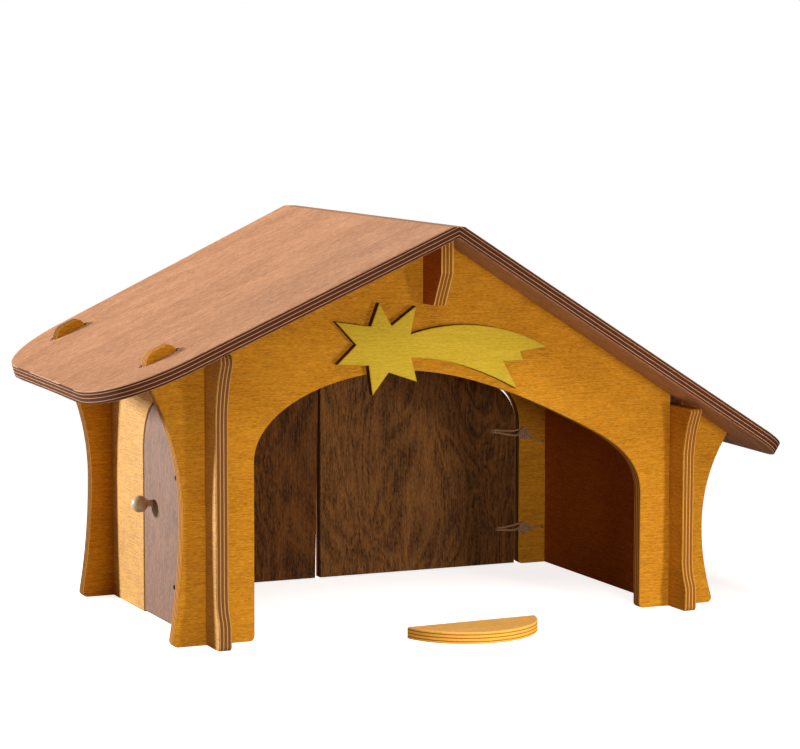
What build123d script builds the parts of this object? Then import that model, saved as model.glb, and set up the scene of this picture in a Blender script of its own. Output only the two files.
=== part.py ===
# Toy nativity stable of plywood boards: two arched gable walls, two side walls,
# a lift-off gable roof of two panels, three doors on cord hinges, a ridge beam,
# a comet star and a loose half-round board.
# Millimetres. X to the right, Y to the rear, Z up, the feet stand on z = 0.
# The open front faces -Y.
import os
from math import cos, radians, sin, tan

from build123d import *

os.makedirs("parts", exist_ok=True)

# Sizes that drive everything
board = 9.0                 # plywood thickness of walls, roof and doors
star_board = 6.0            # thickness of the comet star
stand_board = 8.0           # thickness of the loose half-round board

gable_face = 102.4          # both gables' outer faces, from the middle
wall_face = 180.0           # both side walls' outer faces, from the middle
gable_inner = gable_face - board
wall_inner = wall_face - board

# Roof: the ridge lies left of the middle and the right slope is the steeper one
ridge_x = -12.3
ridge_top = 279.5           # where both top faces would meet
ridge_flat = 277.0          # the ridge is planed flat at this height
left_pitch = 23.5
right_pitch = 32.5
roof_front = -139.5
roof_rear_ridge = 165.0     # the rear edge runs out further at the ridge
# Front corner, middle and rear corner of each eave: along the slope, and to the rear
left_eave = [(272.0, -139.5), (269.2, 0.0), (267.5, 129.0)]
right_eave = [(307.0, -148.0), (300.0, -20.0), (300.0, 129.0)]
left_eave_tilt = 8.0        # degrees by which the left panel's edge leans toward plumb

# Roof tabs on top of both gables, and the slots they stand in
left_tab = (-221.2, -199.7)
right_tab = (196.7, 218.1)
tab_rise = 6.35             # the tab's top over the roof, square to the roof
slot_gap = 0.9              # room at each end of a tab
slot_width = 9.6
slot_dot = 1.4              # radius of the drilled dots at the slot ends
edge_break = 0.5            # all boards have lightly sanded edges

# Half-laps
left_lap = 95.0
right_lap = 72.0
beam_left = -22.5
beam_bottom = 223.2
beam_lap = 243.0
beam_end = 132.0

# Doors
door_lift = 1.0
side_door_y = -17.5
side_door_radius = 40.5
side_door_spring = 115.0
side_door_gap = 2.0
side_hole_front = -61.0
leaf_left_edge = 18.2
leaf_left_foot = 21.2
leaf_right_edge = 17.3

# Knobs
knob_radius = 6.0
knob_sides = 20             # the ball is cut in small flats, so that it stays light
knob_rings = 10
knob_standoff = 3.0
peg_radius = 2.5
peg_fit = 0.05
peg_depth = 6.0
peg_in_ball = 5.0

# Hinge cords
cord_radius = 0.8
cord_sides = 6
cord_rise = 1.0             # cord centre above the wall's inner face
strand_offset = 0.85        # half the spacing of the doubled cord
cord_bend = 1.5
strand_stop = 1.2           # leaf-side strands end this far from the hinge line
leaf_hole_radius = 1.8
wall_hole_radius = 1.2
knot_radius = 4.4
knot_height = 1.8
print("cord bend radius", cord_bend)

# Middle of the whole model's outer box; the origin is moved under it
box_mid_x = -7.8354
box_mid_y = -3.5794


def under_left(x):
    """Height of the left roof panel's lower face."""
    pitch = radians(left_pitch)
    return ridge_top + (x - ridge_x) * tan(pitch) - board / cos(pitch)


def under_right(x):
    """Height of the right roof panel's lower face."""
    pitch = radians(right_pitch)
    return ridge_top - (x - ridge_x) * tan(pitch) - board / cos(pitch)


def save(part, name):
    """Move a finished piece over the origin and write it."""
    print(name, "volume", round(part.volume), "solids", len(part.solids()))
    placed = part.moved(Location((-box_mid_x, -box_mid_y, 0)))
    placed.label = name
    export_step(placed, f"parts/{name}.step")


# The line on which both lower roof faces meet
slope_sum = tan(radians(left_pitch)) + tan(radians(right_pitch))
mitre_x = ridge_x + (under_right(ridge_x) - under_left(ridge_x)) / slope_sum
mitre_z = under_left(mitre_x)

left_tip, left_in = left_tab
right_in, right_tip = right_tab
left_tab_height = (board + tab_rise) / cos(radians(left_pitch))
right_tab_height = (board + tab_rise) / cos(radians(right_pitch))

# Outer outline of a gable: flared feet, waist, roof tabs and ridge point,
# with the half-lap slots for both side walls and for the ridge beam
with BuildSketch() as gable:
    with BuildLine():
        TangentArc((-196, 88), (-204, 0), tangent=(0, -1))
        TangentArc((-196, 88), (left_tip, under_left(left_tip)), tangent=(0, 1))
        Polyline(
            (left_tip, under_left(left_tip)),
            (left_tip, under_left(left_tip) + left_tab_height),
            (left_in, under_left(left_in) + left_tab_height),
            (left_in, under_left(left_in)),
            (mitre_x, mitre_z),
            (right_in, under_right(right_in)),
            (right_in, under_right(right_in) + right_tab_height),
            (right_tip, under_right(right_tip) + right_tab_height),
            (right_tip, under_right(right_tip)),
        )
        TangentArc((198, 58), (right_tip, under_right(right_tip)), tangent=(0, 1))
        TangentArc((198, 58), (208, 0), tangent=(0, -1))
        Line((208, 0), (-204, 0))
    make_face()
    for x, z, radius in (
        (left_tip, under_left(left_tip) + left_tab_height, 11),
        (left_in, under_left(left_in) + left_tab_height, 5.5),
        (right_in, under_right(right_in) + right_tab_height, 5.5),
        (right_tip, under_right(right_tip) + right_tab_height, 11),
    ):
        fillet(gable.vertices().sort_by_distance((x, z, 0))[0], radius=radius)
    with Locations((-wall_inner - board / 2, left_lap)):
        Rectangle(board, 200, align=(Align.CENTER, Align.MIN), mode=Mode.SUBTRACT)
    with Locations((wall_inner + board / 2, right_lap)):
        Rectangle(board, 200, align=(Align.CENTER, Align.MIN), mode=Mode.SUBTRACT)
    with Locations((beam_left + board / 2, beam_lap)):
        Rectangle(board, 60, align=(Align.CENTER, Align.MIN), mode=Mode.SUBTRACT)

# The rear opening, and 3 mm inside it the outline that both rear leaves share
with BuildSketch() as rear_hole:
    Polygon(
        (-148.5, -5), (-148.5, 156), (-40, 184), (148.6, 138.3), (148.6, -5), align=None
    )
    fillet(rear_hole.vertices().sort_by(Axis.Y)[-1], radius=150)
    shoulders = [v for v in rear_hole.vertices() if abs(v.X) > 148 and v.Y > 100]
    fillet(shoulders, radius=36)

with BuildSketch() as rear_leaves:
    Polygon(
        (-145, door_lift), (-145, 153.8), (-40, 180.9), (145.1, 136.1),
        (145.1, door_lift), align=None,
    )
    fillet(rear_leaves.vertices().sort_by(Axis.Y)[-1], radius=147)
    shoulders = [v for v in rear_leaves.vertices() if abs(v.X) > 144 and v.Y > 100]
    fillet(shoulders, radius=32.5)

# Hinges of the doors. Along a wall's inner face: the leaf hole, the hinge line,
# the knot and the wall hole, each with its height.
rear_wall_face = Plane.XZ.offset(-gable_inner)
side_wall_face = Plane.YZ.offset(-wall_inner)
hinges = {
    "right_upper": (rear_wall_face, (125.9, 104.6), 147.0, (153.3, 102.0), (168.5, 94.7)),
    "right_lower": (rear_wall_face, (129.9, 28.4), 147.0, (152.7, 28.5), (168.5, 27.8)),
    "left_upper": (rear_wall_face, (-125.9, 104.6), -147.0, (-153.3, 102.0), (-168.5, 94.7)),
    "left_lower": (rear_wall_face, (-129.9, 28.4), -147.0, (-152.7, 28.5), (-168.5, 27.8)),
    "side_upper": (side_wall_face, (-43.0, 104.5), -59.5, (-65.5, 102.0), (-88.0, 95.5)),
    "side_lower": (side_wall_face, (-38.8, 28.3), -59.5, (-65.5, 28.3), (-88.0, 27.8)),
}
rear_hinges = [hinge for name, hinge in hinges.items() if not name.startswith("side")]
side_hinges = [hinge for name, hinge in hinges.items() if name.startswith("side")]


def gable_rims(gable_wall):
    """Edges around both broad faces of a gable, but for those at the beam's notch."""
    rims = gable_wall.faces().filter_by(Axis.Y).edges()
    return [edge for edge in rims if abs(edge.center().X - beam_left - board / 2) > 6]


with BuildPart() as front_wall:
    with BuildSketch(Plane.XZ.offset(gable_inner)) as front_outline:
        add(gable.sketch)
        with BuildLine():
            Line((-145.5, -5), (-145.5, 121.5))
            Bezier((-145.5, 121.5), (-145.5, 153), (-95.7, 178), (-40, 178))
            Bezier((-40, 178), (3.3, 178), (55.3, 157.1), (98.2, 135.1))
            Bezier((98.2, 135.1), (115.6, 126.2), (147.5, 112.3), (147.5, 83))
            Polyline((147.5, 83), (147.5, -5), (-145.5, -5))
        make_face(mode=Mode.SUBTRACT)
        fillet([v for v in front_outline.vertices() if abs(v.Y) < 0.1], radius=3.5)
    extrude(amount=board)
    chamfer(gable_rims(front_wall), edge_break)
save(front_wall.part, "front_wall")

with BuildPart() as rear_wall:
    with BuildSketch(Plane.XZ.offset(-gable_face)) as rear_outline:
        add(gable.sketch)
        add(rear_hole.sketch, mode=Mode.SUBTRACT)
        fillet([v for v in rear_outline.vertices() if abs(v.Y) < 0.1], radius=3.5)
    extrude(amount=board)
    chamfer(gable_rims(rear_wall), edge_break)
    with BuildSketch(rear_wall_face):
        for face, leaf, line, knot, anchor in rear_hinges:
            with Locations(anchor):
                Circle(wall_hole_radius)
    extrude(amount=-board, mode=Mode.SUBTRACT)
save(rear_wall.part, "rear_wall")


def side_profile(top, flare_start, top_half, top_round, foot_top=17.0, waist_foot=36.0):
    """End profile of a side wall: long foot, waist and a flare to the roof."""
    with BuildSketch(mode=Mode.PRIVATE) as profile:
        with BuildLine():
            for side in (-1, 1):
                Line((side * 127, 0), (side * 127, foot_top))
                TangentArc(
                    (side * 121.5, waist_foot), (side * 127, foot_top), tangent=(0, -1)
                )
                Line((side * 121.5, waist_foot), (side * 121.5, flare_start))
                TangentArc(
                    (side * 121.5, flare_start), (side * top_half, top), tangent=(0, 1)
                )
            Line((-127, 0), (127, 0))
            Line((-top_half, top), (top_half, top))
        make_face()
        fillet([v for v in profile.vertices() if v.Y < 0.1], radius=3.0)
        fillet([v for v in profile.vertices() if abs(v.Y - foot_top) < 0.1], radius=14.0)
        fillet(profile.vertices().group_by(Axis.Y)[-1], radius=top_round)
    return profile.sketch


left_wall_top = under_left(-wall_face) - 0.1
right_wall_top = under_right(wall_face) - 1.6

with BuildPart() as left_side_wall:
    with BuildSketch(Plane.YZ.offset(-wall_face)) as left_outline:
        add(side_profile(left_wall_top, 150.0, 136.0, 5.0))
        hole_radius = side_door_radius + side_door_gap
        with Locations((side_door_y, side_door_spring)):
            Circle(hole_radius, mode=Mode.SUBTRACT)
        with Locations((side_hole_front, -5)):
            Rectangle(
                side_door_y + hole_radius - side_hole_front, side_door_spring + 5,
                align=(Align.MIN, Align.MIN), mode=Mode.SUBTRACT,
            )
        for lap in (-gable_face + board / 2, gable_face - board / 2):
            with Locations((lap, -5)):
                Rectangle(
                    board, left_lap + 5, align=(Align.CENTER, Align.MIN), mode=Mode.SUBTRACT
                )
    extrude(amount=board)
    chamfer(left_side_wall.faces().filter_by(Axis.X).edges(), edge_break)
    with BuildSketch(side_wall_face):
        for face, leaf, line, knot, anchor in side_hinges:
            with Locations(anchor):
                Circle(wall_hole_radius)
    extrude(amount=-board, mode=Mode.SUBTRACT)
save(left_side_wall.part, "left_side_wall")

with BuildPart() as right_side_wall:
    with BuildSketch(Plane.YZ.offset(wall_inner)) as right_outline:
        add(side_profile(right_wall_top, 105.0, 133.0, 2.0))
        for lap in (-gable_face + board / 2, gable_face - board / 2):
            with Locations((lap, -5)):
                Rectangle(
                    board, right_lap + 5, align=(Align.CENTER, Align.MIN), mode=Mode.SUBTRACT
                )
    extrude(amount=board)
    chamfer(right_side_wall.faces().filter_by(Axis.X).edges(), edge_break)
save(right_side_wall.part, "right_side_wall")

with BuildPart() as ridge_beam:
    with BuildSketch(Plane.YZ.offset(beam_left)):
        Polygon(
            (-beam_end, 275), (-beam_end, 245.5), (-119.8, beam_bottom),
            (119.8, beam_bottom), (beam_end, 245.5), (beam_end, 275), align=None,
        )
        for lap in (-gable_face + board / 2, gable_face - board / 2):
            with Locations((lap, beam_lap)):
                Rectangle(board, 60, align=(Align.CENTER, Align.MAX), mode=Mode.SUBTRACT)
    extrude(amount=board)
    with BuildSketch(Plane.XZ):
        Polygon(
            (-40, under_left(-40)), (0, under_left(0)), (0, 300), (-40, 300), align=None
        )
    extrude(amount=200, both=True, mode=Mode.SUBTRACT)
save(ridge_beam.part, "ridge_beam")

# Roof panels, each drawn flat from the ridge down and then laid on its slope
left_roof_top = Plane(
    origin=(ridge_x, 0, ridge_top),
    x_dir=Vector(-1, 0, 0).rotate(Axis.Y, -left_pitch),
    z_dir=Vector(0, 0, 1).rotate(Axis.Y, -left_pitch),
)
right_roof_top = Plane(
    origin=(ridge_x, 0, ridge_top),
    x_dir=Vector(1, 0, 0).rotate(Axis.Y, right_pitch),
    z_dir=Vector(0, 0, 1).rotate(Axis.Y, right_pitch),
)


def panel_outline(to_rear, eave, front_radius, rear_radius):
    """Flat outline of a roof panel; to_rear tells which way the rear lies."""
    front, middle, rear = [(down, to_rear * back) for down, back in eave]
    with BuildSketch(mode=Mode.PRIVATE) as outline:
        with BuildLine():
            Line((0, to_rear * roof_front), front)
            ThreePointArc(front, middle, rear)
            Polyline(rear, (0, to_rear * roof_rear_ridge), (0, to_rear * roof_front))
        make_face()
        fillet(outline.vertices().sort_by_distance(front)[0], radius=front_radius)
        fillet(outline.vertices().sort_by_distance(rear)[0], radius=rear_radius)
    return outline.sketch


def panel_slots(tab):
    """Plan of the two slots over a pair of tabs, with a drilled dot at each end."""
    low, high = tab
    length = high - low + 2 * slot_gap
    with BuildSketch(mode=Mode.PRIVATE) as slots:
        for row in (-gable_face + board / 2, gable_face - board / 2):
            with Locations(((low + high) / 2, row)):
                Rectangle(length, slot_width)
            with Locations((low - 2 * slot_gap, row), (high + 2 * slot_gap, row)):
                Circle(slot_dot)
    return slots.sketch


def panel_rims(panel):
    """Edges around both broad faces of a roof panel, but for those at the ridge."""
    broad = panel.faces().sort_by(SortBy.AREA)[-2:]
    return [edge for edge in broad.edges() if abs(edge.center().X - ridge_x) > 20]


with BuildPart() as roof_panel_left:
    with BuildSketch(left_roof_top):
        add(panel_outline(-1, left_eave, 62, 66))
    lean = radians(left_eave_tilt)
    extrude(amount=board / cos(lean), dir=-left_roof_top.z_dir.rotate(Axis.Y, left_eave_tilt))
    with BuildSketch(Plane.XZ):
        Polygon(
            (ridge_x, ridge_top), (mitre_x, mitre_z), (mitre_x, 240), (60, 240),
            (60, 320), (ridge_x, 320), align=None,
        )
        with Locations((ridge_x, ridge_flat)):
            Rectangle(120, 40, align=(Align.CENTER, Align.MIN))
    extrude(amount=250, both=True, mode=Mode.SUBTRACT)
    chamfer(panel_rims(roof_panel_left), edge_break)
    with BuildSketch(Plane.XY.offset(100)):
        add(panel_slots(left_tab))
    extrude(amount=150, mode=Mode.SUBTRACT)
save(roof_panel_left.part, "roof_panel_left")

with BuildPart() as roof_panel_right:
    with BuildSketch(right_roof_top):
        add(panel_outline(1, right_eave, 25, 40))
    extrude(amount=-board)
    with BuildSketch(Plane.XZ):
        Polygon(
            (ridge_x, ridge_top), (mitre_x, mitre_z), (mitre_x, 240), (-90, 240),
            (-90, 320), (ridge_x, 320), align=None,
        )
        with Locations((ridge_x, ridge_flat)):
            Rectangle(120, 40, align=(Align.CENTER, Align.MIN))
    extrude(amount=250, both=True, mode=Mode.SUBTRACT)
    chamfer(panel_rims(roof_panel_right), edge_break)
    with BuildSketch(Plane.XY.offset(80)):
        add(panel_slots(right_tab))
    extrude(amount=150, mode=Mode.SUBTRACT)
save(roof_panel_right.part, "roof_panel_right")

# Comet star glued flat on the front wall, its tail running to the right
with BuildPart() as comet_star:
    with BuildSketch(Plane.XZ.offset(gable_face)):
        with BuildLine():
            Polyline(
                (-33.9, 203.1), (-30.1, 222.2), (-48.2, 209.3), (-57.2, 225.2),
                (-63.3, 209.4), (-89.0, 213.4), (-74.0, 197.3), (-87.9, 184.5),
                (-64.9, 183.0), (-62.1, 162.7), (-50.3, 177.7), (-29.3, 170.6),
                (-33.4, 186.9),
            )
            Spline((-33.4, 186.9), (-4.0, 182.8), (15.3, 176.8), (46.7, 162.3))
            Polyline((46.7, 162.3), (35.8, 181.8), (51.0, 182.2), (48.7, 188.3), (69.2, 190.9))
            Spline((69.2, 190.9), (44.3, 201.6), (5.5, 208.1), (-33.9, 203.1))
        make_face()
    extrude(amount=star_board)
    chamfer(comet_star.faces().sort_by(Axis.Y)[0].edges(), edge_break)
save(comet_star.part, "comet_star")

with BuildPart() as half_round_stand:
    with BuildSketch():
        with BuildLine():
            ThreePointArc((-48, -135), (2.6, -172), (50, -131))
            Line((50, -131), (-48, -135))
        make_face()
    extrude(amount=stand_board)
    chamfer(half_round_stand.faces().filter_by(Axis.Z).edges(), edge_break)
save(half_round_stand.part, "half_round_stand")


# Door leaves. Each has a blind hole for its knob's peg and two cord holes.
side_knob = (7.0, 80.0)
left_knob = (-37.0, 88.0)
right_knob = (-1.0, 88.0)

with BuildPart() as side_door_leaf:
    with BuildSketch(Plane.YZ.offset(-wall_face)):
        with Locations((side_door_y, side_door_spring)):
            Circle(side_door_radius)
        with Locations((side_door_y, door_lift)):
            Rectangle(
                2 * side_door_radius, side_door_spring - door_lift,
                align=(Align.CENTER, Align.MIN),
            )
    extrude(amount=board)
    chamfer(side_door_leaf.faces().filter_by(Axis.X).edges(), edge_break)
    with BuildSketch(side_wall_face):
        for face, leaf, line, knot, anchor in side_hinges:
            with Locations(leaf):
                Circle(leaf_hole_radius)
    extrude(amount=-board, mode=Mode.SUBTRACT)
    with BuildSketch(Plane.YZ.offset(-wall_face)):
        with Locations(side_knob):
            Circle(peg_radius + peg_fit)
    extrude(amount=peg_depth, mode=Mode.SUBTRACT)
save(side_door_leaf.part, "side_door_leaf")

with BuildPart() as rear_door_left_leaf:
    with BuildSketch(Plane.XZ.offset(-gable_face)):
        add(rear_leaves.sketch)
        with BuildLine():
            Polyline(
                (-leaf_left_foot, 0), (-leaf_left_edge, 177), (-leaf_left_edge, 200),
                (-160, 200), (-160, 0), close=True,
            )
        make_face(mode=Mode.INTERSECT)
    extrude(amount=board)
    chamfer(rear_door_left_leaf.faces().filter_by(Axis.Y).edges(), edge_break)
    with BuildSketch(rear_wall_face):
        for face, leaf, line, knot, anchor in rear_hinges[2:]:
            with Locations(leaf):
                Circle(leaf_hole_radius)
    extrude(amount=-board, mode=Mode.SUBTRACT)
    with BuildSketch(Plane.XZ.offset(-gable_face)):
        with Locations(left_knob):
            Circle(peg_radius + peg_fit)
    extrude(amount=peg_depth, mode=Mode.SUBTRACT)
save(rear_door_left_leaf.part, "rear_door_left_leaf")

with BuildPart() as rear_door_right_leaf:
    with BuildSketch(Plane.XZ.offset(-gable_face)):
        add(rear_leaves.sketch)
        with Locations((-leaf_right_edge, 0)):
            Rectangle(200, 200, align=(Align.MIN, Align.MIN), mode=Mode.INTERSECT)
    extrude(amount=board)
    chamfer(rear_door_right_leaf.faces().filter_by(Axis.Y).edges(), edge_break)
    with BuildSketch(rear_wall_face):
        for face, leaf, line, knot, anchor in rear_hinges[:2]:
            with Locations(leaf):
                Circle(leaf_hole_radius)
    extrude(amount=-board, mode=Mode.SUBTRACT)
    with BuildSketch(Plane.XZ.offset(-gable_face)):
        with Locations(right_knob):
            Circle(peg_radius + peg_fit)
    extrude(amount=peg_depth, mode=Mode.SUBTRACT)
save(rear_door_right_leaf.part, "rear_door_right_leaf")

# Knobs: a turned ball on a round peg, on the outer face of every door
with BuildPart() as turned_ball:
    for ring in range(1, knob_rings):
        turn = radians(180 * ring / knob_rings)
        with BuildSketch(Plane.XY.offset(-knob_radius * cos(turn))):
            RegularPolygon(knob_radius * sin(turn), knob_sides)
    loft(ruled=True)

knob_planes = {
    "side_door": Plane(origin=(-wall_face, side_knob[0], side_knob[1]), z_dir=(-1, 0, 0)),
    "rear_door_left": Plane(origin=(left_knob[0], gable_face, left_knob[1]), z_dir=(0, 1, 0)),
    "rear_door_right": Plane(origin=(right_knob[0], gable_face, right_knob[1]), z_dir=(0, 1, 0)),
}
for door, plane in knob_planes.items():
    with BuildPart() as knob_ball:
        with Locations(plane.offset(knob_standoff + knob_radius).location):
            add(turned_ball.part)
        with BuildSketch(plane):
            Circle(peg_radius + peg_fit)
        extrude(amount=knob_standoff + peg_in_ball, mode=Mode.SUBTRACT)
    save(knob_ball.part, f"{door}_knob")
    with BuildPart() as knob_peg:
        with BuildSketch(plane.offset(-peg_depth + 0.2)):
            Circle(peg_radius)
        extrude(amount=peg_depth + knob_standoff + peg_in_ball - 0.6)
    save(knob_peg.part, f"{door}_peg")

# Hinge cords. The leaf side is a doubled strand that turns into the leaf's hole
# and is cut off short of the hinge line; the wall side starts on the hinge line,
# is knotted on the jamb and goes on as one strand into its hole in the corner.


def strand(face, *points):
    """Cord along a line with small bends, its points given on a wall face."""
    with BuildPart(mode=Mode.PRIVATE) as cord:
        with BuildLine(face) as route:
            if len(points) == 2:
                Line(*points)
            else:
                FilletPolyline(*points, radius=cord_bend)
        with BuildSketch(Plane(origin=route.line @ 0, z_dir=route.line % 0)):
            RegularPolygon(cord_radius, cord_sides)
        sweep(path=route.line)
    return cord.part


for door in ("right", "left", "side"):
    with BuildPart() as leaf_cords:
        for face, leaf, line, knot, anchor in (hinges[f"{door}_upper"], hinges[f"{door}_lower"]):
            way = 1 if anchor[0] > leaf[0] else -1
            slope = (knot[1] - leaf[1]) / (knot[0] - leaf[0])
            stop = line - way * strand_stop
            stop_z = leaf[1] + slope * (stop - leaf[0])
            for side in (-strand_offset, strand_offset):
                add(strand(
                    face,
                    (leaf[0], leaf[1] + side, -4.6),
                    (leaf[0], leaf[1] + side, cord_rise),
                    (stop, stop_z + side, cord_rise),
                ))
    save(leaf_cords.part, f"cord_leaf_{door}")
    with BuildPart() as wall_cords:
        for face, leaf, line, knot, anchor in (hinges[f"{door}_upper"], hinges[f"{door}_lower"]):
            slope = (knot[1] - leaf[1]) / (knot[0] - leaf[0])
            line_z = leaf[1] + slope * (line - leaf[0])
            with BuildSketch(face.offset(cord_rise - knot_height / 2)):
                with Locations(knot):
                    Circle(knot_radius)
            extrude(amount=knot_height)
            for side in (-strand_offset, strand_offset):
                add(strand(
                    face,
                    (line, line_z + side, cord_rise),
                    (knot[0], knot[1] + side, cord_rise),
                ))
            add(strand(
                face,
                (knot[0], knot[1], cord_rise),
                (anchor[0], anchor[1], cord_rise),
                (anchor[0], anchor[1], -6.0),
            ))
    save(wall_cords.part, f"cord_wall_{door}")
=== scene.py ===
# %% [markdown]
# # A toy nativity stable, finished and lit as in its photo
# The real stable is sawn from plywood, stained in several colours and slotted together, and its
# doors hang on knotted cords. The boards come ready-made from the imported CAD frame. This lesson
# gives them their wood, ties the hinge cords, and sets the camera, the floor and the lamps.

# %% Load the frame
from math import cos, radians, sin, tau

import bmesh
import bpy
from mathutils import Matrix, Vector


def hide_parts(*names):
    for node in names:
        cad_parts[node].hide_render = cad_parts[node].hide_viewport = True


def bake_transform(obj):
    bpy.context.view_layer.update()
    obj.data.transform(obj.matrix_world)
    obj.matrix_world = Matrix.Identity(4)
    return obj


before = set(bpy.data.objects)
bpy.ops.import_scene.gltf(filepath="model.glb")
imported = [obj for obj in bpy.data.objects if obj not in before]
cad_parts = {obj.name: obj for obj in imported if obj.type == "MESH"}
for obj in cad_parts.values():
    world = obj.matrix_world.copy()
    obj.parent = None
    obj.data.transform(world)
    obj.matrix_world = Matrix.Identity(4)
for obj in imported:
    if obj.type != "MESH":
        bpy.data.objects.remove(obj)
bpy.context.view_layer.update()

# %% [markdown]
# ## Sizes
# The boards were drawn in millimetres, but the frame is in metres, and its origin lies under the
# middle of the outer box and not of the drawing. Shifting every number by hand would hide what
# it means, so `mm` turns a point of the drawing into a point of the frame. The four distances
# are the faces of the gables and of the side walls, from the drawing's middle.

# %% Sizes
SHIFT = Vector((0.0078354, 0.0035794, 0.0))
GABLE_INNER, GABLE_OUTER = 93.4, 102.4
WALL_INNER, WALL_OUTER = 171.0, 180.0


def mm(x, y, z):
    """A point of the drawing, in metres of the frame."""
    return Vector((x, y, z)) / 1000 + SHIFT


print("the drawing's middle in the frame:", [round(c, 4) for c in SHIFT])

# %% [markdown]
# ## Camera
# The photo was taken through a long lens, from a little to the left and a little above, so the
# edges of the boards hardly converge. A camera can be placed by eye and then nudged. Here its
# place, its turns and its lens were solved from the straight edges of the boards, which is
# more exact, so they are only typed in.

# %% Camera
CAMERA_PLACE = mm(-823.55, -1861.23, 388.55)
YAW, PITCH, ROLL = radians(-24.028), radians(-6.316), radians(-0.146)
bpy.ops.object.camera_add(location=CAMERA_PLACE)
camera = bpy.context.object
camera.name = "photo_camera"
turn = Matrix.Rotation(YAW, 4, "Z")
tilt = Matrix.Rotation(PITCH, 4, "X") @ Matrix.Rotation(ROLL, 4, "Y")
upright = Matrix.Rotation(radians(90), 4, "X")
camera.matrix_world = Matrix.Translation(CAMERA_PLACE) @ turn @ tilt @ upright
camera.data.lens = 128.42
camera.data.sensor_width = 36
camera.data.clip_end = 20
scene = bpy.context.scene
scene.camera = camera
scene.view_settings.view_transform = "Standard"
print("camera lens:", round(camera.data.lens, 2))

# %% [markdown]
# ## Helpers for nodes
# A material is a web of nodes. It could be wired in the shader editor, but every board repeats
# the same web with other numbers, so it is written down once. These helpers add a node and feed
# its inputs, either from another node or with a plain value.


# %% Helpers for nodes
def new_material(name):
    """An empty node material; returns it with its tree and its shader."""
    material = bpy.data.materials.new(name)
    material.use_nodes = True
    return material, material.node_tree, material.node_tree.nodes["Principled BSDF"]


def add_node(tree, kind, **settings):
    """A node of that kind with its properties set."""
    node = tree.nodes.new(kind)
    for key, value in settings.items():
        setattr(node, key, value)
    return node


def feed(tree, node, index, value):
    """Links a socket to an input, or sets the input to a plain value."""
    if isinstance(value, bpy.types.NodeSocket):
        tree.links.new(value, node.inputs[index])
    else:
        node.inputs[index].default_value = value


def math(tree, operation, a, b=0.0):
    """The result of a math node."""
    node = add_node(tree, "ShaderNodeMath", operation=operation)
    feed(tree, node, 0, a)
    feed(tree, node, 1, b)
    return node.outputs[0]


def dot(tree, vector, direction):
    """How far a vector reaches along a direction."""
    node = add_node(tree, "ShaderNodeVectorMath", operation="DOT_PRODUCT")
    feed(tree, node, 0, vector)
    feed(tree, node, 1, direction)
    return node.outputs["Value"]


# %% [markdown]
# ## Helpers for colour
# Wood is never one colour. A noise gives each point a value, and a ramp turns that value into a
# colour between a dark and a light one. An image of real wood would be quicker, but it would
# repeat and show its resolution close up; noise does neither.


# %% Helpers for colour
def noise(tree, vector, scale, detail=3.0, roughness=0.5, distortion=0.0):
    """A noise value between 0 and 1."""
    node = add_node(tree, "ShaderNodeTexNoise")
    feed(tree, node, "Vector", vector)
    feed(tree, node, "Scale", scale)
    feed(tree, node, "Detail", detail)
    feed(tree, node, "Roughness", roughness)
    feed(tree, node, "Distortion", distortion)
    return node.outputs["Fac"]


def ramp(tree, factor, stops):
    """A colour ramp with (position, colour) stops."""
    node = add_node(tree, "ShaderNodeValToRGB")
    elements = node.color_ramp.elements
    while len(elements) < len(stops):
        elements.new(0.5)
    for element, (position, colour) in zip(elements, stops):
        element.position = position
        element.color = (*colour, 1)
    feed(tree, node, "Fac", factor)
    return node.outputs["Color"]


def mix(tree, factor, a, b):
    """One colour where the factor is 0, the other where it is 1."""
    node = add_node(tree, "ShaderNodeMix", data_type="RGBA")
    for index, value in ((0, factor), (6, a), (7, b)):
        feed(tree, node, index, value)
    return node.outputs[2]


def bump(tree, shader, height, strength, distance):
    """Raises the surface a little where the height is large."""
    relief = add_node(tree, "ShaderNodeBump")
    feed(tree, relief, "Strength", strength)
    feed(tree, relief, "Distance", distance)
    feed(tree, relief, "Height", height)
    feed(tree, shader, "Normal", relief.outputs["Normal"])


# %% [markdown]
# ## The knot
# Each door hangs on two short cords instead of metal hinges, and each cord is tied in an overhand
# knot on the wall. A rope simulation could tie it, but it would take long and end differently
# each time. So the knot is a list of points along its loop, seen on the wall it lies on: along,
# up, and height over the wall, in millimetres. Where the cord crosses itself, one height is
# low and the other high.

# %% The knot
KNOT_LENGTHEN, KNOT_HEIGHTEN = 1.25, 1.12
KNOT = (
    (-6.6, 0.0, 1.0), (-4.2, 0.7, 1.0), (-2.0, 1.8, 0.3), (-1.0, -0.2, 1.9), (0.0, -1.9, 3.7),
    (2.1, -3.7, 2.2), (2.9, -1.8, 1.4), (2.0, 1.8, 0.2), (0.0, 3.7, 1.9), (-2.0, 1.8, 3.6),
    (-2.9, -1.8, 2.4), (-2.1, -3.7, 1.6), (0.0, -1.9, 0.2), (1.0, -0.2, 1.9), (2.0, 1.8, 3.7),
    (4.3, -0.2, 1.8), (6.8, -1.2, 1.0),
)
print("points in a knot:", len(KNOT))

# %% [markdown]
# ## From the door to the corner
# A doubled cord comes out of a hole in the leaf, leads over the gap, goes through the knot, and
# one half goes on into a hole in the corner, while the other ends in a short tail. Both halves
# use the same points, pushed apart to the two sides of the line, and further apart where they
# enter the knot, so that they can be told from each other there.

# %% From the door to the corner
STRAND_OFFSET = 0.85
KNOT_ENTRY_SPREAD = 2.3
CORD_RISE = 1.0
HOLE_DEPTH = -3.4
LEAD = 4
EXIT_STEER = 0.35
TAIL_END = (6.4, -2.6)


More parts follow.
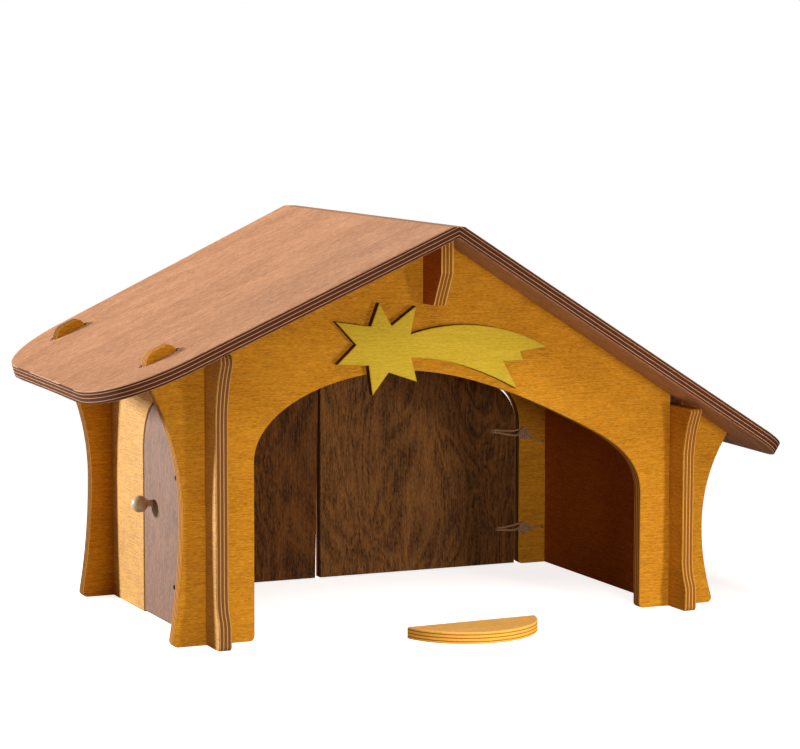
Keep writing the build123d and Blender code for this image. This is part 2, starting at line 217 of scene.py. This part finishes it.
def cord_route(surface, leaf, knot, anchor, side):
    """Control points of one cord: door hole, run, knot, then the corner hole or a short tail."""
    way = 1 if anchor[0] > leaf[0] else -1
    slope = (knot[1] - leaf[1]) / (knot[0] - leaf[0])
    points = [
        (leaf[0], leaf[1] + side, HOLE_DEPTH),
        (leaf[0], leaf[1] + side, CORD_RISE),
        (leaf[0] + way * LEAD, leaf[1] + side + slope * way * LEAD, CORD_RISE),
    ]
    drop = anchor[1] - knot[1]
    last = len(KNOT) - 1
    for number, (along, up, rise) in enumerate(KNOT):
        before = KNOT[max(number - 1, 0)]
        after = KNOT[min(number + 1, last)]
        course = Vector((after[0] - before[0], after[1] - before[1])).normalized()
        apart = side * (KNOT_ENTRY_SPREAD if number < 2 else 1)
        steer = drop * max(number - last + 2, 0) * EXIT_STEER
        points.append((
            knot[0] + way * (KNOT_LENGTHEN * along - apart * course.y),
            knot[1] + KNOT_HEIGHTEN * up + apart * course.x + steer,
            rise,
        ))
    if side > 0:
        points += [
            (anchor[0] - way * LEAD, anchor[1], CORD_RISE),
            (anchor[0], anchor[1], CORD_RISE),
            (anchor[0], anchor[1], HOLE_DEPTH),
        ]
    else:
        points[-1] = (knot[0] + way * TAIL_END[0], knot[1] + TAIL_END[1], CORD_RISE)
    return [surface(*point) for point in points]


# %% [markdown]
# ## Round the line off
# Straight pieces between the points would kink the cord. A spline that the points only pull on
# runs smoothly past them. It could be given a round section of its own, but that can't twist,
# so only its centre line is kept, as a row of points.


# %% Round the line off
def smooth_line(points):
    """Points along the smooth spline that the given points control."""
    curve = bpy.data.curves.new("route", "CURVE")
    curve.dimensions = "3D"
    curve.resolution_u = 16
    spline = curve.splines.new("NURBS")
    spline.points.add(len(points) - 1)
    for control, place in zip(spline.points, points):
        control.co = (*place, 1)
    spline.order_u = 3
    spline.use_endpoint_u = True
    route = bpy.data.objects.new("route", curve)
    mesh = bpy.data.meshes.new_from_object(route)
    line = [vertex.co.copy() for vertex in mesh.vertices]
    bpy.data.objects.remove(route)
    bpy.data.curves.remove(curve)
    bpy.data.meshes.remove(mesh)
    return line


# %% [markdown]
# ## A twisted cord
# The real cord is three strands laid round each other. Three thin tubes would show that, but
# they would touch and cross inside. One tube whose round is pressed in at three places, and
# which turns as it goes, looks the same and is one closed skin. Its rings stand at even steps,
# so the twist is even too, and a UV map runs along and around it for the fibres.

# %% A twisted cord
CORD_RADIUS = 0.8
CORD_PITCH = 5.5
RING_STEP = 0.4
RING_SIDES = 12
STRANDS = 3
STRAND_DEPTH = 0.14


def even_steps(line, step):
    """The same line with its points a fixed step apart."""
    places = [line[0]]
    left = step
    for start, end in zip(line, line[1:]):
        run = (end - start).length
        walked = left
        while walked <= run:
            places.append(start.lerp(end, walked / run))
            walked += step
        left = walked - run
    return places


def ring_at(shell, place, side, up, turn):
    """The corners of the cord's pressed-in round at one place."""
    ring = []
    for corner in range(RING_SIDES):
        angle = tau * corner / RING_SIDES
        press = 1 - STRAND_DEPTH + STRAND_DEPTH * cos(STRANDS * angle)
        reach = CORD_RADIUS / 1000 * press
        direction = cos(angle + turn) * side + sin(angle + turn) * up
        ring.append(shell.verts.new(place + reach * direction))
    return ring


def add_twisted_cord(shell, layer, line):
    """Adds one twisted cord along the line to the mesh."""
    places = even_steps(line, RING_STEP / 1000)
    side = (places[1] - places[0]).orthogonal().normalized()
    rings = []
    for number, place in enumerate(places):
        ahead = places[min(number + 1, len(places) - 1)] - places[max(number - 1, 0)]
        ahead.normalize()
        side = (side - ahead * side.dot(ahead)).normalized()
        turn = tau * number * RING_STEP / CORD_PITCH
        rings.append(ring_at(shell, place, side, ahead.cross(side), turn))
    for number, (near, far) in enumerate(zip(rings, rings[1:])):
        for corner in range(RING_SIDES):
            after = (corner + 1) % RING_SIDES
            face = shell.faces.new((near[corner], near[after], far[after], far[corner]))
            face.smooth = True
            around = (corner, corner + 1, corner + 1, corner)
            along = (number, number, number + 1, number + 1)
            for loop, a, b in zip(face.loops, around, along):
                loop[layer].uv = (b * RING_STEP, a / RING_SIDES)
    shell.faces.new(reversed(rings[0]))
    shell.faces.new(rings[-1])


print("rings in one turn of the twist:", round(CORD_PITCH / RING_STEP, 1))

# %% [markdown]
# ## Where the cords go
# The photo shows the right rear door's cords almost from end to end: the hole in the leaf, the
# knot, and the hole in the corner, each measured along the wall and up. The left rear door is
# its mirror image, so it takes the same places with the sign turned. The side door's cords lie
# on another wall, so a place on a wall is told by two numbers and each wall turns them into a
# point of the frame.

# %% Where the cords go
REAR_CORDS = (
    ((125.9, 104.6), (151.6, 102.0), (168.5, 94.7)),
    ((129.9, 28.4), (151.6, 28.5), (168.5, 27.8)),
)
SIDE_CORDS = (
    ((-43.0, 104.5), (-65.5, 102.0), (-88.0, 95.5)),
    ((-38.8, 28.3), (-65.5, 28.3), (-88.0, 27.8)),
)


def on_rear_wall(u, v, w):
    """A point over the rear wall's inner face."""
    return mm(u, GABLE_INNER - w, v)


def on_side_wall(u, v, w):
    """A point over the left side wall's inner face."""
    return mm(w - WALL_INNER, u, v)


mirrored_cords = [[(-u, v) for u, v in places] for places in REAR_CORDS]
hangings = {
    "right": (on_rear_wall, "rear_door_right", 147.0, REAR_CORDS),
    "left": (on_rear_wall, "rear_door_left", -147.0, mirrored_cords),
    "side": (on_side_wall, "side_door", -59.5, SIDE_CORDS),
}
print("doors on cords:", ", ".join(hangings))

# %% [markdown]
# ## Hang the doors
# On the real stable, one end of a cord moves with its door and the other stays with the wall.
# Here each door's cords are built into one mesh in the frame, and the frame's two cord pieces
# of that door are hidden. The points where a cord would bend on the wall and on the leaf are
# worked out, but nothing uses them, so the cords don't follow a door that swings.

# %% Hang the doors
MIDDLE_HEIGHT = 65
BEND_ON_WALL, BEND_ON_LEAF = 1.2, 3.0
cord_pieces = []
for door, (surface, body, hinge_line, hinges) in hangings.items():
    shell = bmesh.new()
    layer = shell.loops.layers.uv.new("cord")
    length = 0
    for leaf, knot, anchor in hinges:
        for side in (STRAND_OFFSET, -STRAND_OFFSET):
            line = smooth_line(cord_route(surface, leaf, knot, anchor, side))
            length += sum((b - a).length for a, b in zip(line, line[1:]))
            add_twisted_cord(shell, layer, line)
    mesh = bpy.data.meshes.new(f"hinge_cords_{door}")
    shell.to_mesh(mesh)
    shell.free()
    cords = bpy.data.objects.new(f"hinge_cords_{door}", mesh)
    bpy.context.scene.collection.objects.link(cords)
    way = 1 if hinge_line > 0 else -1
    start = surface(hinge_line + way * BEND_ON_WALL, MIDDLE_HEIGHT, 1)
    end = surface(hinge_line - way * BEND_ON_LEAF, MIDDLE_HEIGHT, 1)
    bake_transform(cords)
    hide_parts(f"cord_leaf_{door}", f"cord_wall_{door}")
    cord_pieces.append(cords)
    print(f"cords of the {door} door, metres of cord:", round(length, 3))

# %% [markdown]
# ## The sawn edge
# Plywood is glued from thin plies whose grain runs along and across in turn, so a sawn edge
# shows light and dark stripes. They could be modelled as seven sheets, but they are only a
# colour: how deep a point lies in its board tells which ply it is in. A slow noise makes the
# plies a little wavy, and a fine one gives them fibres.

# %% The sawn edge
BOARD = 9.0
PLIES = 7
PLY_BLUR = 0.012


def stripes_of(first, second, share):
    """Ramp stops for the plies; share is how much of a layer the first colour takes."""
    stops = []
    for ply in range(PLIES):
        low, high = ply / PLIES, (ply + 1) / PLIES
        lack = (high - low) * (1 - share) / 2
        if ply % 2 == 0:
            low, high = max(low + lack, 0), min(high - lack, 1)
        else:
            low, high = low - lack, high + lack
        stops.append((low + PLY_BLUR, first if ply % 2 == 0 else second))
        stops.append((high - PLY_BLUR, first if ply % 2 == 0 else second))
    return stops


def sawn_edge(tree, point, depth, start, board, edge):
    """The colour of the plies. The edge is (outer ply, next ply) and the outer ones' share."""
    (outer, inner), share = edge
    wobble = noise(tree, point, 160.0, 2.0)
    wave = math(tree, "MULTIPLY", math(tree, "SUBTRACT", wobble, 0.5), 0.03)
    layer = math(tree, "DIVIDE", math(tree, "SUBTRACT", depth, start), board / 1000)
    layer = math(tree, "ADD", layer, wave)
    fibre = noise(tree, point, 900.0, 3.0, 0.7)
    shade = add_node(tree, "ShaderNodeHueSaturation")
    feed(tree, shade, "Color", ramp(tree, layer, stripes_of(outer, inner, share)))
    feed(tree, shade, "Value", math(tree, "ADD", math(tree, "MULTIPLY", fibre, 0.5), 0.75))
    return shade.outputs["Color"]


print("one ply in millimetres:", round(BOARD / PLIES, 2))

# %% [markdown]
# ## The face veneer
# A stained birch face shows broad clouds, long streaks, short dark pores, and here and there a
# figure of rings where the knife cut the veneer flat. Each of the first three is a noise in a
# space pulled out along the grain, longer or shorter. The figure is made of the contour lines
# of a slow noise, like the lines of a hill on a map.


# %% The face veneer
def stretched(tree, along, across, through, lengthwise, crosswise):
    """Texture space pulled out along the grain."""
    node = add_node(tree, "ShaderNodeCombineXYZ")
    feed(tree, node, 0, math(tree, "MULTIPLY", along, lengthwise))
    feed(tree, node, 1, math(tree, "MULTIPLY", across, crosswise))
    feed(tree, node, 2, math(tree, "MULTIPLY", through, crosswise))
    return node.outputs[0]


def veneer_tone(tree, axes, figure):
    """How dark or light the veneer is, with its streaks and pores for the relief."""
    cloud = noise(tree, stretched(tree, *axes, 10, 30), 1.0, 3.0, 0.6, 0.4)
    streak = noise(tree, stretched(tree, *axes, 60, 900), 1.0, 3.0, 0.6)
    pore = noise(tree, stretched(tree, *axes, 330, 1900), 1.0, 2.0, 0.6)
    hill = noise(tree, stretched(tree, *axes, 7, 20), 1.0, 3.0, 0.5, 0.7)
    contour = math(tree, "FRACT", math(tree, "MULTIPLY", hill, 16.0))
    contour = math(tree, "ABSOLUTE", math(tree, "SUBTRACT", contour, 0.5))
    contour = math(tree, "SUBTRACT", contour, 0.25)
    tone = math(tree, "MULTIPLY", cloud, 0.17)
    for part, share in ((streak, 0.33), (pore, 0.50), (contour, figure)):
        tone = math(tree, "ADD", tone, math(tree, "MULTIPLY", part, share))
    return tone, streak, pore


def stained(tree, tone, veneer):
    """The veneer's colour; veneer is its dark and its light one."""
    return ramp(tree, tone, [(0.36, veneer[0]), (0.64, veneer[1])])


# %% [markdown]
# ## One recipe for every board
# A board is told by three things: the direction through it, where it starts in that direction,
# and the way its grain runs. Where the surface looks sideways out of the board it is an edge,
# elsewhere it is a face. The recipe is the same for a wall, a roof panel and the star, so all
# of them are plainly one material with another stain.

# %% One recipe for every board
EDGE_LIMIT = 0.6
EDGE_ROUGHNESS = 0.9


def between_gables(tree, along, grain, normal, through):
    """1 on the face that looks back through the board, as far as the gables reach; else 0."""
    middle = mm(0, 0, 0).dot(grain)
    off_middle = math(tree, "ABSOLUTE", math(tree, "SUBTRACT", along, middle))
    within = math(tree, "LESS_THAN", off_middle, GABLE_INNER / 1000)
    inward = math(tree, "LESS_THAN", dot(tree, normal, through), -EDGE_LIMIT)
    return math(tree, "MULTIPLY", within, inward)


def plywood(name, lay, veneer, edge, figure, finish, board=BOARD, room_shade=None):
    """A stained plywood. lay is through, start and grain; edge is its plies; figure is how strong
    the rings are; finish is the face's roughness and specular level; the last argument, if given,
    is a deeper veneer painted as shade on the face towards the room."""
    material, tree, shader = new_material(name)
    place = add_node(tree, "ShaderNodeTexCoord")
    point, normal = place.outputs["Object"], place.outputs["Normal"]
    through, grain = Vector(lay[0]).normalized(), Vector(lay[2]).normalized()
    along = dot(tree, point, grain)
    across = dot(tree, point, through.cross(grain))
    depth = dot(tree, point, through)

    tone, streak, pore = veneer_tone(tree, (along, across, depth), figure)
    face = stained(tree, tone, veneer)
    if room_shade:
        # Painted shade: between the gables, the face towards the room takes a deeper copy of the
        # veneer.
        inside = between_gables(tree, along, grain, normal, through)
        face = mix(tree, inside, face, stained(tree, tone, room_shade))
    facing = math(tree, "ABSOLUTE", dot(tree, normal, through))
    sideways = math(tree, "LESS_THAN", facing, EDGE_LIMIT)
    plies = sawn_edge(tree, point, depth, lay[1], board, edge)
    feed(tree, shader, "Base Color", mix(tree, sideways, face, plies))

    rough = math(tree, "MULTIPLY", sideways, EDGE_ROUGHNESS - finish[0])
    rough = math(tree, "ADD", rough, finish[0])
    rough = math(tree, "ADD", rough, math(tree, "MULTIPLY", pore, 0.1))
    feed(tree, shader, "Roughness", rough)
    feed(tree, shader, "Specular IOR Level", finish[1])
    bump(tree, shader, math(tree, "ADD", streak, pore), 0.35, 0.0002)
    return material


# %% [markdown]
# ## Give a board its wood
# The board's own mesh stays as it is, and only its material is exchanged. Two finishes are
# enough for most boards: matt oil and satin.

# %% Give a board its wood
X, Y, Z = (1, 0, 0), (0, 1, 0), (0, 0, 1)
MATT = (0.85, 0.25)
SATIN = (0.62, 1.0)


def dress(node, material):
    """Gives a CAD node its material."""
    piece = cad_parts[node]
    piece.data.materials.clear()
    piece.data.materials.append(material)


# %% [markdown]
# ## Walls and ridge beam
# The walls are stained amber, with the grain lying down. The left wall faces the window, so its
# face takes a lighter, paler copy of the amber, which is painted light and sheen. Its end and the
# rear gable's edges take darker plies, which is painted shade, and that is simpler than lighting
# one wall apart from the others. The right wall's face towards the room, between the gables, and
# the whole ridge beam take a deeper amber, which is painted shade.

# %% Walls and ridge beam
AMBER = ((0.38, 0.135, 0.003), (0.77, 0.358, 0.021))
# Painted shade: a deeper amber for the right wall's face towards the room and the ridge beam.
AMBER_PAINTED_SHADE = ((0.26, 0.055, 0.001), (0.55, 0.15, 0.006))
# Painted light and sheen: a lighter, paler amber for the left wall, which faces the window.
AMBER_PAINTED_LIGHT = ((0.32, 0.13, 0.010), (0.84, 0.46, 0.055))
AMBER_EDGE = (((0.72, 0.42, 0.12), (0.31, 0.105, 0.007)), 0.5)
# Painted shade: darker plies for the left wall's edges.
SHADED_EDGE = (((0.66, 0.36, 0.085), (0.19, 0.058, 0.004)), 0.48)
# Painted shade: darker plies for the rear gable's edges.
REAR_EDGE_PAINTED_SHADE = (((0.50, 0.26, 0.055), (0.09, 0.026, 0.002)), 0.5)
BEAM_LEFT = -22.5

walls = {
    "front_wall": ((Y, mm(0, -GABLE_OUTER, 0).y, X), AMBER, AMBER_EDGE, MATT, None),
    # Painted shade: the rear gable's plies are drawn darker.
    "rear_wall": ((Y, mm(0, GABLE_INNER, 0).y, X), AMBER, REAR_EDGE_PAINTED_SHADE, MATT, None),
    # Painted light on the left wall's face, and painted shade on its plies.
    "left_side_wall": ((X, mm(-WALL_OUTER, 0, 0).x, Y), AMBER_PAINTED_LIGHT, SHADED_EDGE, SATIN, None),
    # Painted shade: a deeper amber on the right wall's room side and on the whole ridge beam.
    "right_side_wall": ((X, mm(WALL_INNER, 0, 0).x, Y), AMBER, AMBER_EDGE, MATT, AMBER_PAINTED_SHADE),
    "ridge_beam": ((X, mm(BEAM_LEFT, 0, 0).x, Y), AMBER_PAINTED_SHADE, AMBER_EDGE, MATT, None),
}
for node, (lay, veneer, edge, finish, room_shade) in walls.items():
    wood = plywood(f"amber_{node}", lay, veneer, edge, 0.05, finish, room_shade=room_shade)
    dress(node, wood)
print("amber boards:", len(walls))

# %% [markdown]
# ## Roof
# The two panels meet in a mitre over the ridge, at different pitches, and their grain runs down
# the slope. Their stain is a reddish brown, with dark outer plies; these are drawn wider than the
# light ones, and the extra width is painted shade on the edges. The direction through each panel
# follows from its pitch, and it starts one board under the ridge point.

# %% Roof
BROWN = ((0.24, 0.105, 0.044), (0.70, 0.37, 0.20))
# Real dark outer plies, drawn wider than they are; the extra width is painted shade.
BROWN_PLIES_AND_SHADE = (((0.085, 0.021, 0.010), (0.72, 0.40, 0.19)), 1.7)
RIDGE = mm(-12.3, 0, 279.5)

for node, pitch, way in (("roof_panel_left", 23.5, -1), ("roof_panel_right", 32.5, 1)):
    normal = Vector((way * sin(radians(pitch)), 0, cos(radians(pitch))))
    slope = Vector((way * cos(radians(pitch)), 0, -sin(radians(pitch))))
    lay = (normal, RIDGE.dot(normal) - BOARD / 1000, slope)
    wood = plywood(f"brown_{node}", lay, BROWN, BROWN_PLIES_AND_SHADE, 0.04, (0.6, 0.5))
    dress(node, wood)
    print(node, "starts at", round(lay[1], 4), "m")

# %% [markdown]
# ## Doors
# The grain of the leaves stands up, and the rings of the veneer show clearly on the two rear
# ones. They are nearly black-brown, and the right one takes a lighter copy of that stain, which
# is painted light. The side door is seen in the full light of the window, so it takes a paler,
# greyer copy, which is painted light and sheen, and a smoother finish.

# %% Doors
DARK = ((0.008, 0.002, 0.0002), (0.19, 0.066, 0.012))
# Painted light: a lighter copy of the dark stain for the right rear leaf.
DARK_PAINTED_LIGHT = ((0.014, 0.004, 0.0005), (0.27, 0.110, 0.028))
# Painted light and sheen: a paler, greyer copy of the dark stain for the side door.
DARK_PAINTED_SHEEN = ((0.06, 0.026, 0.016), (0.36, 0.18, 0.115))
DARK_EDGE = (((0.05, 0.016, 0.006), (0.22, 0.09, 0.035)), 1.0)

rear_start = mm(0, GABLE_INNER, 0).y
leaves = {
    "side_door_leaf": ((X, mm(-WALL_OUTER, 0, 0).x, Z), DARK_PAINTED_SHEEN, 0.08, (0.62, 0.85)),
    "rear_door_left_leaf": ((Y, rear_start, Z), DARK, 0.2, MATT),
    "rear_door_right_leaf": ((Y, rear_start, Z), DARK_PAINTED_LIGHT, 0.2, MATT),
}
for node, (lay, veneer, figure, finish) in leaves.items():
    wood = plywood(f"dark_{node}", lay, veneer, DARK_EDGE, figure, finish)
    dress(node, wood)
print("door leaves:", len(leaves))

# %% [markdown]
# ## Star and half-round board
# Both are sawn from thinner board than the walls. The star is stained yellow, and its edge is
# coloured nearly black-brown, which is painted shade for the shade and shadow along its sides.
# The half-round board is left clear, so its plies are pale with thin darker lines.

# %% Star and half-round board
STAR_BOARD = 6.0
HALF_ROUND_BOARD = 8.0
YELLOW = ((0.49, 0.335, 0.014), (0.71, 0.52, 0.048))
# Painted shade: the star's edge plies are nearly black for the shade along its sides.
YELLOW_EDGE_PAINTED_SHADE = (((0.13, 0.028, 0.004), (0.055, 0.010, 0.002)), 1.1)
CLEAR = ((0.78, 0.38, 0.07), (1.0, 0.62, 0.19))
CLEAR_EDGE = (((0.82, 0.44, 0.07), (0.36, 0.12, 0.01)), 1.4)

lay = (Y, mm(0, -GABLE_OUTER - STAR_BOARD, 0).y, X)
wood = plywood("yellow_star", lay, YELLOW, YELLOW_EDGE_PAINTED_SHADE, 0.03, MATT, STAR_BOARD)
dress("comet_star", wood)
lay = (Z, 0, (1, 0.04, 0))
wood = plywood("clear_half_round", lay, CLEAR, CLEAR_EDGE, 0.06, MATT, HALF_ROUND_BOARD)
dress("half_round_stand", wood)
print("boards dressed")

# %% [markdown]
# ## Cord fibres
# The cord is matt, fuzzy and straw-coloured. A pattern on object coordinates would cut straight
# through it, so the fibres use the cord's own UV map, which runs along it and around it, and
# follow every bend. The colour is painted darker in the grooves between the three strands, which
# is painted shade.

# %% Cord fibres
material, tree, shader = new_material("twisted_cord")
wrap = add_node(tree, "ShaderNodeUVMap", uv_map="cord")
spread = add_node(tree, "ShaderNodeMapping")
feed(tree, spread, "Vector", wrap.outputs["UV"])
feed(tree, spread, "Scale", (1.2, 60, 1))
fibre = noise(tree, spread.outputs["Vector"], 1.0, 3.0, 0.6)
split = add_node(tree, "ShaderNodeSeparateXYZ")
feed(tree, split, 0, wrap.outputs["UV"])
# Painted shade: darker in the grooves between the strands.
groove_shade = math(tree, "COSINE", math(tree, "MULTIPLY", split.outputs["Y"], STRANDS * tau))
groove_shade = math(tree, "ADD", math(tree, "MULTIPLY", groove_shade, 0.4), 0.65)
shade = add_node(tree, "ShaderNodeHueSaturation")
straw = [(0.3, (0.52, 0.25, 0.11)), (0.7, (0.95, 0.60, 0.34))]
feed(tree, shade, "Color", ramp(tree, fibre, straw))
feed(tree, shade, "Value", groove_shade)
feed(tree, shader, "Base Color", shade.outputs["Color"])
feed(tree, shader, "Roughness", 0.9)
feed(tree, shader, "Specular IOR Level", 0.2)
feed(tree, shader, "Sheen Weight", 0.3)
bump(tree, shader, fibre, 0.4, 0.0001)
for cords in cord_pieces:
    cords.data.materials.append(material)
print("cord pieces:", len(cord_pieces))

# %% [markdown]
# ## Knobs
# Each knob is a ball of turned birch on a round peg, left pale. Turning leaves a smooth, slightly
# shiny skin with fine grain, so one noise that is pulled out in one direction is enough here.

# %% Knobs
material, tree, shader = new_material("turned_birch")
place = add_node(tree, "ShaderNodeTexCoord")
spread = add_node(tree, "ShaderNodeMapping")
feed(tree, spread, "Vector", place.outputs["Object"])
feed(tree, spread, "Scale", (60, 900, 900))
grain = noise(tree, spread.outputs["Vector"], 1.0, 3.0)
birch = [(0.3, (0.52, 0.40, 0.25)), (0.7, (0.76, 0.64, 0.46))]
feed(tree, shader, "Base Color", ramp(tree, grain, birch))
feed(tree, shader, "Roughness", 0.4)
doors = ("side_door", "rear_door_left", "rear_door_right")
for door in doors:
    dress(f"{door}_knob", material)
    dress(f"{door}_peg", material)
print("knobs:", len(doors))

# %% [markdown]
# ## White for the camera
# The photo is cut out on pure white. A white floor that really lights the scene would wash the
# wood out from below, and a grey one would not be white. So the camera sees one shader, and the
# light that bounces meets another.


# %% White for the camera
def join(tree, kind, first, second):
    """Two shaders in a mix or an add node; returns that node."""
    node = add_node(tree, kind)
    slots = [socket for socket in node.inputs if socket.type == "SHADER"]
    tree.links.new(first.outputs[0], slots[0])
    tree.links.new(second.outputs[0], slots[1])
    return node


def white_for_camera(tree, output, seen, bounced):
    """Shows one shader to the camera and another to the light that bounces."""
    path = add_node(tree, "ShaderNodeLightPath")
    chooser = join(tree, "ShaderNodeMixShader", bounced, seen)
    tree.links.new(path.outputs["Is Camera Ray"], chooser.inputs[0])
    tree.links.new(chooser.outputs[0], output.inputs["Surface"])


# %% [markdown]
# ## Floor
# Near the stable the camera also sees how much light falls on the floor, so that a faint shadow
# holds the stable down. Further out that fades into plain white, because no lamp reaches there.
# The bounced light meets a warm grey paper.

# %% Floor
FLOOR_SIZE = 12
SHADOW_FROM, SHADOW_TO = 0.25, 0.55
bpy.ops.mesh.primitive_plane_add(size=FLOOR_SIZE, location=(0, 0, 0))
floor = bpy.context.object
floor.name = "floor"
material, tree, shader = new_material("white_paper")
feed(tree, shader, "Base Color", (0.40, 0.37, 0.34, 1))
feed(tree, shader, "Roughness", 1.0)
glow = add_node(tree, "ShaderNodeEmission")
feed(tree, glow, "Color", (1, 1, 1, 1))
dim_glow = add_node(tree, "ShaderNodeEmission")
feed(tree, dim_glow, "Color", (1, 1, 1, 1))
feed(tree, dim_glow, "Strength", 0.80)
lit = add_node(tree, "ShaderNodeBsdfDiffuse")
feed(tree, lit, "Color", (0.9, 0.9, 0.9, 1))
shaded = join(tree, "ShaderNodeAddShader", dim_glow, lit)
place = add_node(tree, "ShaderNodeTexCoord")
radius = add_node(tree, "ShaderNodeVectorMath", operation="LENGTH")
feed(tree, radius, 0, place.outputs["Object"])
fade = add_node(tree, "ShaderNodeMapRange", interpolation_type="SMOOTHSTEP")
feed(tree, fade, "Value", radius.outputs["Value"])
feed(tree, fade, "From Min", SHADOW_FROM)
feed(tree, fade, "From Max", SHADOW_TO)
near_and_far = join(tree, "ShaderNodeMixShader", shaded, glow)
tree.links.new(fade.outputs["Result"], near_and_far.inputs[0])
white_for_camera(tree, tree.nodes["Material Output"], near_and_far, shader)
floor.data.materials.append(material)
print("the floor's shadow fades from", SHADOW_FROM, "to", SHADOW_TO, "m")

# %% [markdown]
# ## Backdrop
# The backdrop is white to the camera too. What it sends onto the boards is weak and warm, as
# light that a warm wooden thing has thrown about itself: it fills the shadows inside the stable
# without flattening them.

# %% Backdrop
world = bpy.data.worlds.new("studio")
scene.world = world
world.use_nodes = True
tree = world.node_tree
fill = tree.nodes["Background"]
feed(tree, fill, "Color", (1.0, 0.40, 0.20, 1))
feed(tree, fill, "Strength", 0.10)
plain = add_node(tree, "ShaderNodeBackground")
feed(tree, plain, "Color", (1, 1, 1, 1))
white_for_camera(tree, tree.nodes["World Output"], plain, fill)
print("fill strength:", round(fill.inputs["Strength"].default_value, 2))

# %% [markdown]
# ## Lamps
# One strong window stands low on the left and behind: it lights the left wall, the side door and
# the front feet's left edges, and throws the knob's shadow. Three weaker area lamps open up the
# roof and the front. Two spots do what a photographer's cards do, low into the room and onto
# the half-round board. All are warm, and a larger lamp gives a softer shadow.


# %% Lamps
def add_lamp(kind, name, place, target, power, colour):
    """A lamp of that kind at a place, aimed at a point."""
    bpy.ops.object.light_add(type=kind, location=place)
    lamp = bpy.context.object
    lamp.name = name
    lamp.data.energy = power
    lamp.data.color = colour
    aim = Vector(target) - Vector(place)
    lamp.rotation_euler = aim.to_track_quat("-Z", "Y").to_euler()
    return lamp


# place, target, size, power, colour
windows = {
    "low_window": ((-1.56, 1.06, 0.505), (-0.15, 0, 0.1), 0.25, 48, (1.0, 0.96, 0.90)),
    "over_ridge": ((0, 0.35, 1.0), (0, 0, 0.2), 0.3, 3.3, (1.0, 0.96, 0.92)),
    "high_front": ((-0.3, -1.0, 1.6), (0, 0, 0.1), 0.8, 9.5, (1.0, 0.94, 0.86)),
    "far_card": ((-0.2, -1.65, 0.2), (0.05, 0, 0.1), 0.25, 7.6, (1.0, 0.94, 0.84)),
}
for name, (place, target, size, power, colour) in windows.items():
    lamp = add_lamp("AREA", name, place, target, power, colour)
    lamp.data.shape = "SQUARE"
    lamp.data.size = size
    lamp.visible_camera = False

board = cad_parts["half_round_stand"]
board_middle = board.matrix_world @ (sum((Vector(c) for c in board.bound_box), Vector()) / 8)
# place, target, angle, power
spots = {
    "low_spot": ((0.33, -0.75, 0.10), (0.02, -0.1, -0.02), 52, 11.5),
    "board_spot": ((0.05, -0.62, 0.55), board_middle, 26, 9.5),
}
for name, (place, target, angle, power) in spots.items():
    lamp = add_lamp("SPOT", name, place, target, power, (1.0, 0.94, 0.84))
    lamp.data.spot_size = radians(angle)
    lamp.data.spot_blend = 1.0
    lamp.data.shadow_soft_size = 0.04
print("board middle:", [round(c, 3) for c in board_middle])
